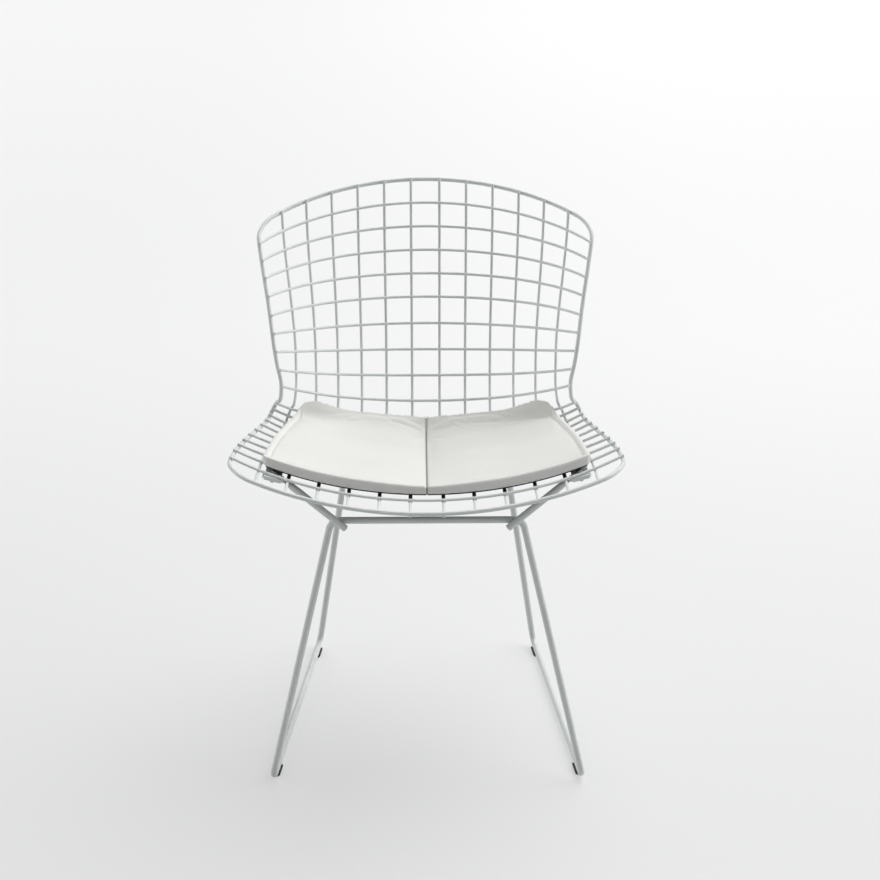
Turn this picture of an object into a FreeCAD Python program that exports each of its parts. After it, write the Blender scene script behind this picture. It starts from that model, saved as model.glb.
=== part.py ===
import FreeCAD, Part
import math
import os

# Wire mesh dining chair with a two-panel seat pad, in millimetres, +Z up, front towards -Y.
# The basket is one curved surface: a side profile swept sideways along circular sections.
# Every wire, the rim, the pad and the mounting plates are placed on that surface.

V = FreeCAD.Vector

# Stock diameters
wire_diameter = 4.2
rim_diameter = 6.2
rod_diameter = 10.0
weld_bite = 0.25
plate_weld_bite = 0.09

# Side profile of the basket on its centre line, from the front rim to the top rim
front_rim_height = 447.0
lip_length = 45.0
lip_front_slope = -2.0
lip_rear_slope = -4.0
front_seat_length = 164.0
middle_seat_slope = -17.0
rear_seat_length = 160.0
rear_seat_slope = -10.0
bend_length = 75.0
bend_top_slope = 44.5
lumbar_length = 85.0
lumbar_top_slope = 62.8
middle_back_length = 90.0
middle_back_slope = 72.0
upper_back_slope = 72.3

# Cross wires, counted from the front rim
seat_pitch = 40.4
seat_pitches = 11
lower_back_pitch = 41.76
lower_back_pitches = 5
upper_back_pitch = 37.01
upper_back_pitches = 5

# Lengthwise wires, counted from the sitter's right
# The outer wires run at an inset from the rim, the others at even shares of their distance
wires_per_side = 6
waist_middle_gap = 43.3
front_wire_inset = 41.5
waist_wire_inset = 25.8
top_wire_inset = 46.5

# Sideways shape of the basket: half widths are measured along the surface
front_half_width = 280.0
waist_half_width = 250.8
back_half_width = 280.6
waist_station = 430.0
back_width_station = 621.0
rim_corner_radius = 34.0

# How far the surface has turned up at the reference offset from the centre line, in degrees
reference_offset = 230.0
front_turn = 14.5
seat_turn = 27.2
back_turn = 49.7
top_turn = 30.7
seat_turn_station = 340.0
back_turn_start = 498.0
back_turn_end = 560.0

# How far each row is bowed along the surface at the reference offset
front_bow = 34.1
seat_bow_station = 231.0
seat_arch = 7.7
arch_start_station = 535.0
top_arch = 51.5

# Wire ends past the centre of the rim
cross_end_overhang = 2.6
top_end_overhang = 2.2
rim_ease_length = 36.0

# Base: two hoops joined by floor runners
front_bar_y = 110.0
front_bar_height = 386.5
front_bar_half_width = 136.5
front_foot_y = 25.5
front_foot_half_width = 227.0
rear_bar_y = 352.0
rear_bar_height = 350.0
rear_bar_half_width = 127.0
rear_foot_y = 448.0
rear_foot_half_width = 177.0
hoop_bend_radius = 16.0
foot_bend_radius = 17.0
foot_weld_length = 12.0

# Glides clipped under the runners
glide_wall = 3.4
glide_sole = 3.0
glide_length = 24.0
glide_inset = 0.5
glide_clearance = 0.1
glide_lip_height = 6.5
glide_outer_reach = 3.5
glide_inner_reach = 7.2

# Supports from the hoops to the basket
support_inset = 9.0
front_support_clearance = 0.65
rear_support_clearance = 1.15
support_tail = 16.0
front_mount_row = 1.5
front_mount_column = 5.5
rear_mount_row = 9.5
rear_mount_column = 4.5
plate_thickness = 5.2
plate_width = 24.0
tab_thickness = 4.2
tab_width = 16.0
tab_length = 30.0
tab_corner_radius = 4.8
flat_length = 16.0
screw_diameter = 5.0
screw_hole_clearance = 0.15
screw_head_diameter = 9.0
screw_head_height = 2.6
screw_head_fillet = 1.04
screw_recess = 1.4
screw_recess_width = 1.4
screw_recess_length = 4.95
nut_width = 8.0
nut_height = 4.0
screw_tail = 1.5

# Seat pad, on the upper side of the cross wires
pad_seat_clearance = 1.0
underside_thickness = 1.2
pad_front_y = 51.5
pad_front_corner_y = 84.5
pad_front_half_width = 229.0
pad_rear_y = 427.0
pad_rear_corner_y = 371.0
pad_rear_half_width = 202.0
pad_edge_height = 13.0
pad_seam_height = 10.5
pad_crown = 8.5
pad_seam_gap = 1.2
pad_seam_slope_share = 1 / 3
underside_inset = 4.0
pad_front_droop = 1.0
pad_droop_share = 0.085
pad_sections = 7
pad_stations = 16

# Black retaining sleeves on the wires at the pad's front edge
sleeve_wall = 0.6
sleeve_fit = 0.05
sleeve_row = 1
sleeve_end_gap = 1.0
edge_sleeve_end = 6.0

middle_share = waist_middle_gap / 2 / (waist_half_width - waist_wire_inset)
wire_radius = wire_diameter / 2
rim_radius = rim_diameter / 2
rod_radius = rod_diameter / 2
cross_offset = wire_diameter - weld_bite
rim_contact = wire_radius + rim_radius - weld_bite
runner_height = glide_sole + rod_radius
straight_limit = 1e-4


def row_station(row):
    """Arc length from the front rim to a row of cross wires, rows counted from the front rim."""
    on_seat = min(row, seat_pitches) * seat_pitch
    on_lower = min(max(row - seat_pitches, 0), lower_back_pitches) * lower_back_pitch
    on_upper = max(row - seat_pitches - lower_back_pitches, 0) * upper_back_pitch
    return on_seat + on_lower + on_upper


row_count = seat_pitches + lower_back_pitches + upper_back_pitches
top_station = row_station(row_count)
seat_length = lip_length + front_seat_length + rear_seat_length
upper_length = top_station - seat_length - bend_length - lumbar_length - middle_back_length

profile_stretches = (
    (lip_length, lip_front_slope, lip_rear_slope),
    (front_seat_length, lip_rear_slope, middle_seat_slope),
    (rear_seat_length, middle_seat_slope, rear_seat_slope),
    (bend_length, rear_seat_slope, bend_top_slope),
    (lumbar_length, bend_top_slope, lumbar_top_slope),
    (middle_back_length, lumbar_top_slope, middle_back_slope),
    (upper_length, middle_back_slope, upper_back_slope),
)


def arc_step(y, z, length, slope_a, slope_b):
    """Move along an arc that starts at one slope and ends at another."""
    a = math.radians(slope_a)
    b = math.radians(slope_b)
    if abs(b - a) < straight_limit:
        return y + length * math.cos(a), z + length * math.sin(a)
    radius = length / (b - a)
    return y + radius * (math.sin(b) - math.sin(a)), z - radius * (math.cos(b) - math.cos(a))


def profile(station):
    """Place and slope of the centre line at an arc length from the front rim."""
    y = 0.0
    z = front_rim_height
    if station < 0:
        a = math.radians(lip_front_slope)
        return y + station * math.cos(a), z + station * math.sin(a), a
    left = station
    for length, slope_a, slope_b in profile_stretches:
        if left <= length:
            slope = slope_a + (slope_b - slope_a) * left / length
            y, z = arc_step(y, z, left, slope_a, slope)
            return y, z, math.radians(slope)
        y, z = arc_step(y, z, length, slope_a, slope_b)
        left -= length
    a = math.radians(upper_back_slope)
    return y + left * math.cos(a), z + left * math.sin(a), a


def ease(value, start, end, first, last):
    """Cosine blend from first to last while value goes from start to end."""
    share = min(max((value - start) / (end - start), 0.0), 1.0)
    return first + (last - first) * (1 - math.cos(math.pi * share)) / 2


def half_width(station):
    """Distance along the surface from the centre line to the rim."""
    if station < waist_station:
        return ease(station, 0.0, waist_station, front_half_width, waist_half_width)
    return ease(station, waist_station, back_width_station, waist_half_width, back_half_width)


def section_turn(station):
    """Angle that the surface turns up at the reference offset."""
    if station < seat_turn_station:
        turn = ease(station, 0.0, seat_turn_station, front_turn, seat_turn)
    elif station < back_turn_end:
        turn = ease(station, seat_turn_station, back_turn_start, seat_turn, back_turn)
    else:
        turn = ease(station, back_turn_end, top_station, back_turn, top_turn)
    return math.radians(turn)


def row_shift(station):
    """How far a row is pushed towards the front at the reference offset."""
    if station < arch_start_station:
        return ease(station, 0.0, seat_bow_station, -front_bow, seat_arch)
    share = (station - arch_start_station) / (top_station - arch_start_station)
    return seat_arch + (top_arch - seat_arch) * share ** 1.5


def outer_across(station):
    """Distance across the surface of the outermost lengthwise wire."""
    waist = waist_half_width - waist_wire_inset
    if station < waist_station:
        return ease(station, 0.0, waist_station, front_half_width - front_wire_inset, waist)
    return ease(station, waist_station, top_station, waist, back_half_width - top_wire_inset)


def surface(station, across):
    """Point of the basket surface at a row station and a distance across it."""
    share = (across / reference_offset) ** 2
    along = station - row_shift(station) * share
    turn = section_turn(along)
    radius = reference_offset / turn
    x = radius * math.sin(across / radius)
    rise = radius * (1 - math.cos(across / radius))
    y, z, slope = profile(along)
    return V(x, y - rise * math.sin(slope), z + rise * math.cos(slope))


def surface_normal(station, across):
    """Unit normal on the sitter's side."""
    step = 0.5
    sideways = surface(station, across + step) - surface(station, across - step)
    lengthwise = surface(station + step, across) - surface(station - step, across)
    normal = sideways.cross(lengthwise)
    return normal.normalize()


def shell_point(station, across, offset):
    """Point above the basket surface, the offset being positive on the sitter's side."""
    return surface(station, across) + surface_normal(station, across) * offset


def arc_edge(start, tangent, end):
    """Arc or straight edge that leaves start along the tangent."""
    chord = end - start
    direction = V(chord).normalize()
    side = tangent - direction * tangent.dot(direction)
    turn = math.atan2(side.Length, tangent.dot(direction))
    sagitta = chord.Length / 2 * math.tan(turn / 2)
    if sagitta < straight_limit:
        return Part.LineSegment(start, end).toShape()
    middle = start + chord * 0.5 + side.normalize() * sagitta
    return Part.Arc(start, middle, end).toShape()


def biarc(start, start_tangent, end, end_tangent):
    """Two tangent arcs from one point and direction to another."""
    chord = end - start
    both = start_tangent + end_tangent
    a = 2 * (1 - start_tangent.dot(end_tangent))
    b = 2 * chord.dot(both)
    c = -chord.dot(chord)
    if a < 1e-9:
        reach = -c / b
    else:
        reach = (-b + math.sqrt(b * b - 4 * a * c)) / (2 * a)
    joint = (start + end + (start_tangent - end_tangent) * reach) * 0.5
    first = arc_edge(start, start_tangent, joint)
    chord_out = end - joint
    back = end_tangent * -1
    second = arc_edge(end, back, joint)
    second.reverse()
    return [first, second] if chord_out.Length > straight_limit else [first]


def smooth_edges(curve, stops):
    """Biarcs along a curve given as a function, through its points at the stops."""
    step = 0.05
    places = [curve(t) for t in stops]
    tangents = [(curve(t + step) - curve(t - step)).normalize() for t in stops]
    edges = []
    for i in range(len(stops) - 1):
        edges += biarc(places[i], tangents[i], places[i + 1], tangents[i + 1])
    return edges


def tube(edges, radius, start, tangent):
    """Round bar along joined edges."""
    path = Part.Wire(edges)
    ring = Part.Wire(Part.makeCircle(radius, start, tangent))
    return path.makePipeShell([ring], True, False)


def swept_bar(curve, stops, radius):
    """Round bar along a curve given as a function."""
    step = 0.05
    tangent = (curve(stops[0] + step) - curve(stops[0] - step)).normalize()
    return tube(smooth_edges(curve, stops), radius, curve(stops[0]), tangent)


def column_across(column, station):
    """Distance across the surface of a lengthwise wire, columns counted from the middle."""
    side = 1 if column > 0 else -1
    steps_out = (abs(column) - 1) / (wires_per_side - 1)
    return side * outer_across(station) * (middle_share + (1 - middle_share) * steps_out)


def lengthwise_stops(front_start, top_end):
    """Stations of the arcs' ends: two pitches apart, and one apart at the lip and in the bend."""
    lip_rows = 3
    bend_rows = 3
    rows = []
    for row in range(1, row_count):
        close = row <= lip_rows or abs(row - seat_pitches) <= bend_rows
        if close or row % 2 == 0:
            rows.append(row)
    return [front_start] + [row_station(row) for row in rows] + [top_station + top_end]


def make_lengthwise_wire(column):
    """Wire from the rear face of the front rim, under the pad and up the back."""
    stops = lengthwise_stops(rim_radius - weld_bite, top_end_overhang)
    return swept_bar(lambda s: shell_point(s, column_across(column, s), 0.0), stops, wire_radius)


def make_cross_wire(row):
    """Wire across the basket on the sitter's side of the lengthwise wires."""
    station = row_station(row)
    end = half_width(station) + cross_end_overhang
    spans = 8
    stops = [end * (2 * i / spans - 1) for i in range(spans + 1)]
    return swept_bar(lambda a: shell_point(station, a, cross_offset), stops, wire_radius)


def rim_offset(station):
    """The rim is level with the wires in front, under the cross wires' ends, and behind at the top."""
    side = cross_offset - rim_contact
    if station < top_station / 2:
        return ease(station, 0.0, rim_ease_length, 0.0, side)
    return ease(station, top_station - rim_ease_length, top_station, side, -rim_contact)


def rim_place(distance):
    """Point of the rim at a distance round it, from the middle of the front."""
    r = rim_corner_radius
    corner = r * math.pi / 2
    front = front_half_width - r
    side = top_station - 2 * r
    top = back_half_width - r
    half = front + corner + side + corner + top
    whole = 2 * half
    d = distance % whole
    sign = 1 if d <= half else -1
    if sign < 0:
        d = whole - d
    if d < front:
        return sign * d, 0.0
    d -= front
    if d < corner:
        angle = d / r
        station = r * (1 - math.cos(angle))
        return sign * (half_width(station) - r + r * math.sin(angle)), station
    d -= corner
    if d < side:
        station = r + d
        return sign * half_width(station), station
    d -= side
    if d < corner:
        angle = d / r
        station = top_station - r + r * math.sin(angle)
        return sign * (half_width(station) - r + r * math.cos(angle)), station
    d -= corner
    return sign * (back_half_width - r - d), top_station


def even_stops(start, end, spans):
    """Starts of equal spans."""
    return [start + (end - start) * i / spans for i in range(spans)]


def make_rim():
    """Closed bar round the basket, made as two mirrored halves joined on the centre line."""
    r = rim_corner_radius
    corner = r * math.pi / 2
    front = front_half_width - r
    side_start = front + corner - r
    rows = [side_start + row_station(row) for row in range(1, row_count)]
    top_corner = side_start + top_station - r
    end = top_corner + corner + back_half_width - r
    stops = even_stops(0.0, front, 4) + even_stops(front, rows[0], 3) + rows[:-1]
    stops += even_stops(rows[-1], top_corner + corner, 3)
    stops += even_stops(top_corner + corner, end, 4) + [end]

    def curve(d):
        across, station = rim_place(d)
        return shell_point(station, across, rim_offset(station))

    half = swept_bar(curve, stops, rim_radius)
    other = half.mirror(V(0, 0, 0), V(1, 0, 0))
    return half.fuse(other).removeSplitter()


def bent_path(points, radius):
    """Straight runs joined by tangent arcs of one radius."""
    edges = []
    last = points[0]
    for i in range(1, len(points) - 1):
        corner = points[i]
        to_last = (points[i - 1] - corner).normalize()
        to_next = (points[i + 1] - corner).normalize()
        half_angle = to_last.getAngle(to_next) / 2
        reach = radius / math.tan(half_angle)
        enter = corner + to_last * reach
        leave = corner + to_next * reach
        inward = (to_last + to_next).normalize()
        middle = corner + inward * (radius / math.sin(half_angle) - radius)
        edges.append(Part.LineSegment(last, enter).toShape())
        edges.append(Part.Arc(enter, middle, leave).toShape())
        last = leave
    edges.append(Part.LineSegment(last, points[-1]).toShape())
    return edges


def bent_bar(points, radius, bar_radius):
    """Round bar bent through the points."""
    tangent = (points[1] - points[0]).normalize()
    return tube(bent_path(points, radius), bar_radius, points[0], tangent)


def foot_points(side):
    """Corners of a runner's centre line, front and rear."""
    front = V(side * front_foot_half_width, front_foot_y, runner_height)
    rear = V(side * rear_foot_half_width, rear_foot_y, runner_height)
    return front, rear


def bar_points(side):
    """Corners where the hoops' bars turn down, front and rear."""
    front = V(side * front_bar_half_width, front_bar_y, front_bar_height)
    rear = V(side * rear_bar_half_width, rear_bar_y, rear_bar_height)
    return front, rear


def leg_weld(foot, top, along):
    """Point on a leg just above its foot bend, where the runner's end is welded on."""
    up = (top - foot).normalize()
    half_angle = up.getAngle(along) / 2
    return foot + up * (foot_bend_radius / math.tan(half_angle) + foot_weld_length)


def weld_points(side):
    """Joints between the legs and the runner."""
    front_foot, rear_foot = foot_points(side)
    front_top, rear_top = bar_points(side)
    along = (rear_foot - front_foot).normalize()
    return leg_weld(front_foot, front_top, along), leg_weld(rear_foot, rear_top, along * -1)


def make_hoop(which):
    """Inverted U: a bar under the seat that turns down into two splayed legs."""
    points = [weld_points(-1)[which], bar_points(-1)[which], bar_points(1)[which], weld_points(1)[which]]
    return bent_bar(points, hoop_bend_radius, rod_radius)


def make_runner(side):
    """Floor rod with both ends turned up to meet the legs."""
    front_foot, rear_foot = foot_points(side)
    front_weld, rear_weld = weld_points(side)
    return bent_bar([front_weld, front_foot, rear_foot, rear_weld], foot_bend_radius, rod_radius)


def make_glide(side, at_front):
    """Moulded glide under a runner, with a flat sole and a lip up the inner side."""
    front_foot, rear_foot = foot_points(side)
    along = (rear_foot - front_foot).normalize()
    top = bar_points(side)[0 if at_front else 1]
    foot = front_foot if at_front else rear_foot
    inward = along if at_front else along * -1
    half_angle = (top - foot).normalize().getAngle(inward) / 2
    start = foot + inward * (foot_bend_radius / math.tan(half_angle) + glide_inset)
    outer = rod_radius + glide_clearance + glide_wall
    body = Part.makeCylinder(outer, glide_length, start, inward)
    bore = Part.makeCylinder(rod_radius + glide_clearance, glide_length, start, inward)
    sideways = V(inward.y, -inward.x, 0).normalize()
    if sideways.x * side > 0:
        sideways = sideways * -1
    middle = start + inward * (glide_length / 2)
    middle = middle + sideways * ((glide_inner_reach - glide_outer_reach) / 2)
    keep = box_along(middle, inward, sideways, 2 * glide_length,
                     glide_inner_reach + glide_outer_reach, 0.0, glide_lip_height)
    return body.cut(bore).common(keep)


def box_along(centre, length_axis, width_axis, length, width, low, high):
    """Box about a vertical axis with its faces square to two flat directions."""
    a = length_axis * (length / 2)
    b = width_axis * (width / 2)
    base = V(centre.x, centre.y, low)
    corners = [base - a - b, base + a - b, base + a + b, base - a + b]
    outline = Part.makePolygon(corners + [corners[0]])
    return Part.Face(outline).extrude(V(0, 0, high - low))


def mount_frame(row, column, side):
    """Midpoint between two cross wires' centre lines, and outward, rearward and upward directions."""
    station = row_station(row)
    across = column_across(side * column, station)
    front = shell_point(row_station(row - 0.5), across, cross_offset)
    rear = shell_point(row_station(row + 0.5), across, cross_offset)
    rearward = (rear - front).normalize()
    step = 0.5
    outward = surface(station, across + side * step) - surface(station, across)
    outward = (outward - rearward * outward.dot(rearward)).normalize()
    up = outward.cross(rearward).normalize() * side
    return (front + rear) * 0.5, outward, rearward, up


def oriented_box(centre, axes, sizes):
    """Box with a centre, three square directions and a size along each."""
    a, b, c = [axis * (size / 2) for axis, size in zip(axes, sizes)]
    corners = [centre - a - b - c, centre + a - b - c, centre + a + b - c, centre - a + b - c]
    outline = Part.makePolygon(corners + [corners[0]])
    return Part.Face(outline).extrude(c * 2)


def plate_top():
    """Height of the mounting plates' upper face over the cross wires' centre lines."""
    return plate_weld_bite - wire_radius


def hole_through(frame, clearance):
    """Screw hole square to a mounting place."""
    centre, outward, rearward, up = frame
    depth = plate_thickness + tab_thickness + nut_height
    radius = screw_diameter / 2 + clearance
    return Part.makeCylinder(radius, 4 * depth, centre - up * (2 * depth), up)


def make_plate(frame):
    """Plate welded under two neighbouring cross wires, with its screw hole."""
    centre, outward, rearward, up = frame
    middle = centre + up * (plate_top() - plate_thickness / 2)
    length = seat_pitch + wire_diameter
    plate = oriented_box(middle, (outward, rearward, up), (plate_width, length, plate_thickness))
    return plate.cut(hole_through(frame, screw_hole_clearance))


def make_support(frame, crossing):
    """Diagonal rod that crosses a hoop's bar and is flattened into a tab under the plate."""
    centre, outward, rearward, up = frame
    middle = centre + up * (plate_top() - plate_thickness - tab_thickness / 2)
    tab = oriented_box(middle, (outward, rearward, up), (tab_length, tab_width, tab_thickness))
    corners = [e for e in tab.Edges if abs(e.tangentAt(0).dot(up)) > 0.99]
    outer = [e for e in corners if (e.CenterOfMass - middle).dot(outward) > 0]
    tab = tab.makeFillet(tab_corner_radius, outer)
    tab = tab.cut(hole_through(frame, screw_hole_clearance))
    inner = middle - outward * (tab_length / 2)
    direction = (inner - crossing).normalize()
    low_end = crossing - direction * support_tail
    flat_start = inner - direction * flat_length
    rod = Part.makeCylinder(rod_radius, (flat_start - low_end).Length, low_end, direction)
    round_end = Part.Wire(Part.makeCircle(rod_radius, flat_start, direction))
    flat = Part.Ellipse(inner + rearward * (tab_width / 2), inner + up * (tab_thickness / 2), inner)
    flat_end = Part.Wire(flat.toShape())
    neck = Part.makeLoft([round_end, flat_end], True, True)
    return rod.fuse(neck).fuse(tab)


def support_crossing(side, which):
    """Point of a support's centre line beside the hoop's bar, on the hoop's outer face."""
    top = bar_points(side)[which]
    leg = foot_points(side)[which] - top
    outward = V(0, leg.z, -leg.y).normalize()
    if which == 1:
        outward = outward * -1
    clearance = rear_support_clearance if which == 1 else front_support_clearance
    return top - V(side * support_inset, 0, 0) + outward * (rod_diameter + clearance)


def make_screw(frame):
    """Pan head screw from above the plate, with a cross recess."""
    centre, outward, rearward, up = frame
    seat = centre + up * plate_top()
    shank = plate_thickness + tab_thickness + nut_height + screw_tail
    screw = Part.makeCylinder(screw_diameter / 2, shank, seat - up * shank, up)
    head = Part.makeCylinder(screw_head_diameter / 2, screw_head_height, seat, up)
    rims = [e for e in head.Edges if (e.CenterOfMass - seat).dot(up) > screw_head_height / 2]
    head = head.makeFillet(screw_head_fillet, rims[:1])
    slot_centre = seat + up * (screw_head_height - screw_recess / 2)
    for first, second in ((outward, rearward), (rearward, outward)):
        size = (screw_recess_length, screw_recess_width, screw_recess)
        head = head.cut(oriented_box(slot_centre, (first, second, up), size))
    return screw.fuse(head)


def make_nut(frame):
    """Hexagon nut under the tab."""
    centre, outward, rearward, up = frame
    top = centre + up * (plate_top() - plate_thickness - tab_thickness)
    corner = nut_width / math.sqrt(3)
    points = []
    for i in range(7):
        angle = math.radians(60 * i)
        points.append(top + outward * (corner * math.cos(angle)) + rearward * (corner * math.sin(angle)))
    block = Part.Face(Part.makePolygon(points)).extrude(up * -nut_height)
    return block.cut(hole_through(frame, 0.0))


def seat_height(x, y, offset):
    """Height over a plan position of the surface raised by an offset."""
    station = y
    across = x
    step = 0.1
    for _ in range(12):
        here = shell_point(station, across, offset)
        along = (shell_point(station + step, across, offset) - here) * (1 / step)
        side = (shell_point(station, across + step, offset) - here) * (1 / step)
        miss_x = x - here.x
        miss_y = y - here.y
        det = side.x * along.y - along.x * side.y
        across += (miss_x * along.y - along.x * miss_y) / det
        station += (side.x * miss_y - side.y * miss_x) / det
    return shell_point(station, across, offset).z


def pad_ends(share):
    """Front and rear plan points of a pad section, the share going from the seam to the side."""
    front_x = pad_seam_gap / 2 + (pad_front_half_width - pad_seam_gap / 2) * share
    rear_x = pad_seam_gap / 2 + (pad_rear_half_width - pad_seam_gap / 2) * share
    front_y = pad_front_y + (pad_front_corner_y - pad_front_y) * share ** 2
    rear_y = pad_rear_y + (pad_rear_corner_y - pad_rear_y) * share ** 2
    return V(front_x, front_y, 0), V(rear_x, rear_y, 0)


def pad_top(share, along):
    """Height of the pad above its underside, drawn in at the seam and at every edge."""
    edge = pad_seam_height + (pad_edge_height - pad_seam_height) * min(share / pad_seam_slope_share, 1.0)
    across_dome = 1 - abs(2 * share - 1) ** 3
    along_dome = 1 - abs(2 * along - 1) ** 4
    return edge + pad_crown * across_dome * along_dome


def pad_section(share, low, height, inset):
    """Closed outline in one upright plane, from low above the wires up to low plus a height."""
    front, rear = pad_ends(share)
    run = (rear - front).normalize()
    front = front + run * inset
    rear = rear - run * inset
    base = cross_offset + wire_radius + pad_seat_clearance

    def bottom(t):
        plan = front + (rear - front) * t
        droop = pad_front_droop * (1 - share ** 2) * max(1 - t / pad_droop_share, 0.0) ** 2
        return V(plan.x, plan.y, seat_height(plan.x, plan.y, base + low) - droop)

    def top(t):
        return bottom(t) + V(0, 0, height(t))

    stops = [i / pad_stations for i in range(pad_stations + 1)]
    lower = chain(bottom, stops)
    upper = chain(top, stops)
    sides = [Part.LineSegment(bottom(1.0), top(1.0)).toShape(),
             Part.LineSegment(top(0.0), bottom(0.0)).toShape()]
    return Part.Wire(Part.__sortEdges__(lower + upper + sides))


def chain(curve, stops):
    """Tangent arcs through points of a curve, with the tangents taken by short steps inside it."""
    step = 1e-3
    places = [curve(t) for t in stops]
    tangents = []
    for t in stops:
        ahead = curve(min(t + step, 1.0))
        behind = curve(max(t - step, 0.0))
        tangents.append((ahead - behind).normalize())
    edges = []
    for i in range(len(stops) - 1):
        edges += biarc(places[i], tangents[i], places[i + 1], tangents[i + 1])
    return edges


def make_pad_panel(side):
    """Half of the cushion: crowned top, boxed sides, drawn in towards the middle seam."""
    sections = []
    for i in range(pad_sections):
        share = i / (pad_sections - 1)
        sections.append(pad_section(share, underside_thickness + pad_seat_clearance,
                                    lambda t, u=share: pad_top(u, t), 0.0))
    panel = Part.makeLoft(sections, True, False)
    if side < 0:
        panel = panel.mirror(V(0, 0, 0), V(1, 0, 0))
    return panel


def make_underside(side):
    """Black sheet under half of the cushion, resting on the cross wires."""
    sections = []
    for i in range(pad_sections):
        share = i / (pad_sections - 1) * (1 - underside_inset / pad_front_half_width)
        sections.append(pad_section(share, 0.0, lambda t: underside_thickness, underside_inset))
    sheet = Part.makeLoft(sections, True, False)
    if side < 0:
        sheet = sheet.mirror(V(0, 0, 0), V(1, 0, 0))
    return sheet


def make_sleeve(column):
    """Thin sleeve round a lengthwise wire between the two front rows of cross wires."""
    stops = [row_station(sleeve_row), row_station(sleeve_row + 1)]
    outer_radius = wire_radius + sleeve_fit + sleeve_wall

    def curve(s):
        return shell_point(s, column_across(column, s), 0.0)

    sleeve = swept_bar(curve, stops, outer_radius)
    sleeve = sleeve.cut(swept_bar(curve, stops, wire_radius + sleeve_fit))
    middle = curve((stops[0] + stops[1]) / 2)
    chord = curve(stops[1]) - curve(stops[0])
    length = chord.Length - 2 * (wire_radius + sleeve_end_gap)
    along = chord.normalize()
    sideways = along.cross(V(0, 0, 1)).normalize()
    width = 4 * outer_radius
    keep = oriented_box(middle, (along, sideways, along.cross(sideways)), (length, width, width))
    return sleeve.common(keep)


def make_edge_sleeve():
    """Black sleeve on the cross wire below the pad's front edge, open over each lengthwise wire."""
    station = row_station(sleeve_row + 1)
    end = column_across(wires_per_side - 1, station) + edge_sleeve_end
    stops = [end * i / (wires_per_side - 1) for i in range(1 - wires_per_side, wires_per_side)]
    outer_radius = wire_radius + sleeve_fit + sleeve_wall

    def curve(a):
        return shell_point(station, a, cross_offset)

    sleeve = swept_bar(curve, stops, outer_radius)
    sleeve = sleeve.cut(swept_bar(curve, stops, wire_radius + sleeve_fit))
    for column in columns():
        if abs(column) < wires_per_side:
            across = column_across(column, station)
            middle = shell_point(station, across, 0.0)
            along = shell_point(station + outer_radius, across, 0.0) - middle
            start = middle - along * 2
            hole = Part.makeCylinder(outer_radius, 4 * along.Length, start, along)
            sleeve = sleeve.cut(hole)
    return sleeve


def columns():
    """Numbers of the lengthwise wires, from the sitter's right to left."""
    right = [-column for column in range(wires_per_side, 0, -1)]
    left = list(range(1, wires_per_side + 1))
    return right + left


def build_nodes():
    """All pieces by node name."""
    nodes = {"rim": [make_rim()]}
    for number, column in enumerate(columns(), 1):
        nodes["lengthwise_wire_%02d" % number] = [make_lengthwise_wire(column)]
    for row in range(1, row_count):
        nodes["cross_wire_%02d" % row] = [make_cross_wire(row)]
    nodes["front_hoop"] = [make_hoop(0)]
    nodes["rear_hoop"] = [make_hoop(1)]
    plates = []
    screws = []
    nuts = []
    for side, name in ((-1, "left"), (1, "right")):
        nodes["runner_" + name] = [make_runner(side)]
        nodes["glide_front_" + name] = [make_glide(side, True)]
        nodes["glide_rear_" + name] = [make_glide(side, False)]
        front = mount_frame(front_mount_row, front_mount_column, side)
        rear = mount_frame(rear_mount_row, rear_mount_column, side)
        nodes["support_front_" + name] = [make_support(front, support_crossing(side, 0))]
        nodes["support_rear_" + name] = [make_support(rear, support_crossing(side, 1))]
        for frame in (front, rear):
            plates.append(make_plate(frame))
            screws.append(make_screw(frame))
            nuts.append(make_nut(frame))
        nodes["pad_panel_" + name] = [make_pad_panel(side)]
        nodes["pad_underside_" + name] = [make_underside(side)]
    nodes["mounting_plates"] = plates
    nodes["mounting_screws"] = screws
    nodes["mounting_nuts"] = nuts
    nodes["pad_sleeves"] = [make_sleeve(c) for c in columns() if abs(c) < wires_per_side]
    nodes["pad_edge_sleeve"] = [make_edge_sleeve()]
    return nodes


def main():
    """Centre the chair over its box's middle and write one file for each node."""
    os.makedirs("parts", exist_ok=True)
    nodes = build_nodes()
    whole = Part.makeCompound([solid for solids in nodes.values() for solid in solids])
    box = whole.optimalBoundingBox()
    shift = V(-(box.XMin + box.XMax) / 2, -(box.YMin + box.YMax) / 2, -box.ZMin)
    print("shift", round(shift.x, 3), round(shift.y, 3), round(shift.z, 3))
    print("size", round(box.XLength, 1), round(box.YLength, 1), round(box.ZLength, 1))
    for name, solids in nodes.items():
        shape = solids[0] if len(solids) == 1 else Part.makeCompound(solids)
        moved = shape.translated(shift)
        if not moved.isValid() or not all(s.Volume > 0 for s in moved.Solids):
            print("check", name, moved.isValid(), [round(s.Volume, 1) for s in moved.Solids])
        moved.exportStep("parts/%s.step" % name)
    print("nodes", len(nodes), "solids", sum(len(solids) for solids in nodes.values()))


main()
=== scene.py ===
import logging
import math
from dataclasses import dataclass, field
from enum import Enum
from functools import cached_property
from typing import ClassVar

import bpy
import numpy as np
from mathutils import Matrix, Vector
from mathutils.kdtree import KDTree


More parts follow.
